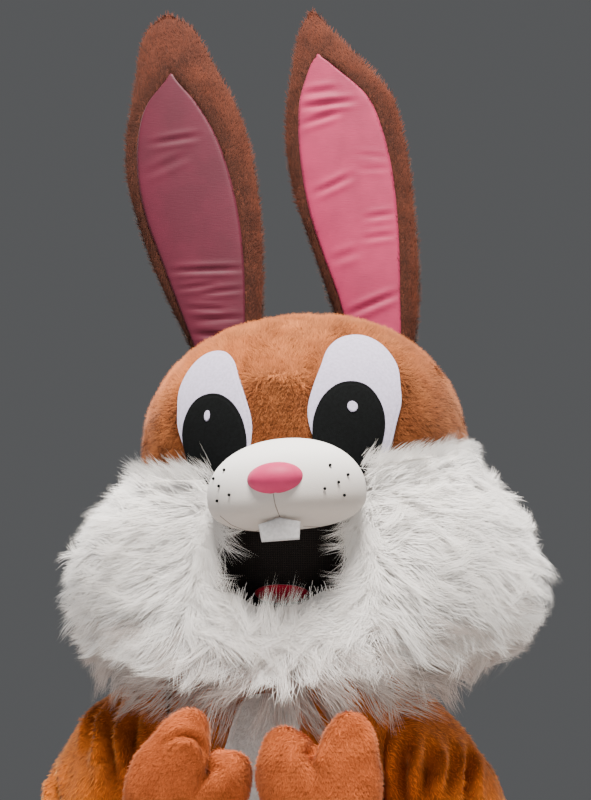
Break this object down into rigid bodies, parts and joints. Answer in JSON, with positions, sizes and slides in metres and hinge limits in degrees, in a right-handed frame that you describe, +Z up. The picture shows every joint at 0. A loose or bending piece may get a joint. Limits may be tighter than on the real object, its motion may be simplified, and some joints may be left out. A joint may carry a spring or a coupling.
{
  "type": "rabbit mascot costume",
  "caption": "Hollow plush rabbit suit with an oversized head, upright ears, a long white fur ruff, raised mittens and foot covers.",
  "frame": {"origin": "on the wearer's shoulder line at the base of the neck, in the suit's middle plane", "axes": "+Z up, the face looks along -Y, and +X is the wearer's left"},
  "size_m": [0.8264, 0.7824, 2.563],
  "materials": {
    "brown_plush": "short dense plush pile, matt",
    "golden_plush": "brushed plush pile with a soft sheen",
    "white_plush": "short dense plush pile, matt",
    "white_fur": "long straight faux fur in locks",
    "pink_satin": "soft satin, lightly wrinkled",
    "white_felt": "smooth felt, matt",
    "black_felt": "smooth felt, matt",
    "tooth_felt": "smooth felt, matt",
    "crimson_felt": "smooth felt, matt",
    "black_mesh": "open woven mesh",
    "black_sole": "matt foam rubber"
  },
  "bodies": {
    "root": {"head_gusset": "brown_plush", "head_side_right": "brown_plush", "head_side_left": "brown_plush", "ear_right": "brown_plush", "ear_left": "brown_plush", "ear_lining_right": "pink_satin", "ear_lining_left": "pink_satin", "eye_white_right": "white_felt", "eye_white_left": "white_felt", "eye_pupil_right": "black_felt", "eye_pupil_left": "black_felt", "eye_glint_right": "white_felt", "eye_glint_left": "white_felt", "muzzle": "white_plush", "nose": "pink_satin", "tooth": "tooth_felt", "tongue": "crimson_felt", "mouth_mesh": "black_mesh", "ruff_cheek_right": "white_fur", "ruff_cheek_left": "white_fur", "ruff_chin": "white_fur", "ruff_back": "white_fur", "torso_front": "golden_plush", "torso_back_right": "golden_plush", "torso_back_left": "golden_plush", "belly_patch": "white_plush", "zip_flap": "golden_plush", "tail": "white_plush", "sleeve_right_front": "golden_plush", "sleeve_right_back": "golden_plush", "sleeve_left_front": "golden_plush", "sleeve_left_back": "golden_plush", "leg_right_front": "golden_plush", "leg_right_back": "golden_plush", "leg_left_front": "golden_plush", "leg_left_back": "golden_plush", "mitten_right_back": "brown_plush", "mitten_right_palm": "brown_plush", "mitten_left_back": "brown_plush", "mitten_left_palm": "brown_plush", "foot_right_upper": "brown_plush", "foot_right_sole": "black_sole", "foot_left_upper": "brown_plush", "foot_left_sole": "black_sole"}
  },
  "joints": []
}
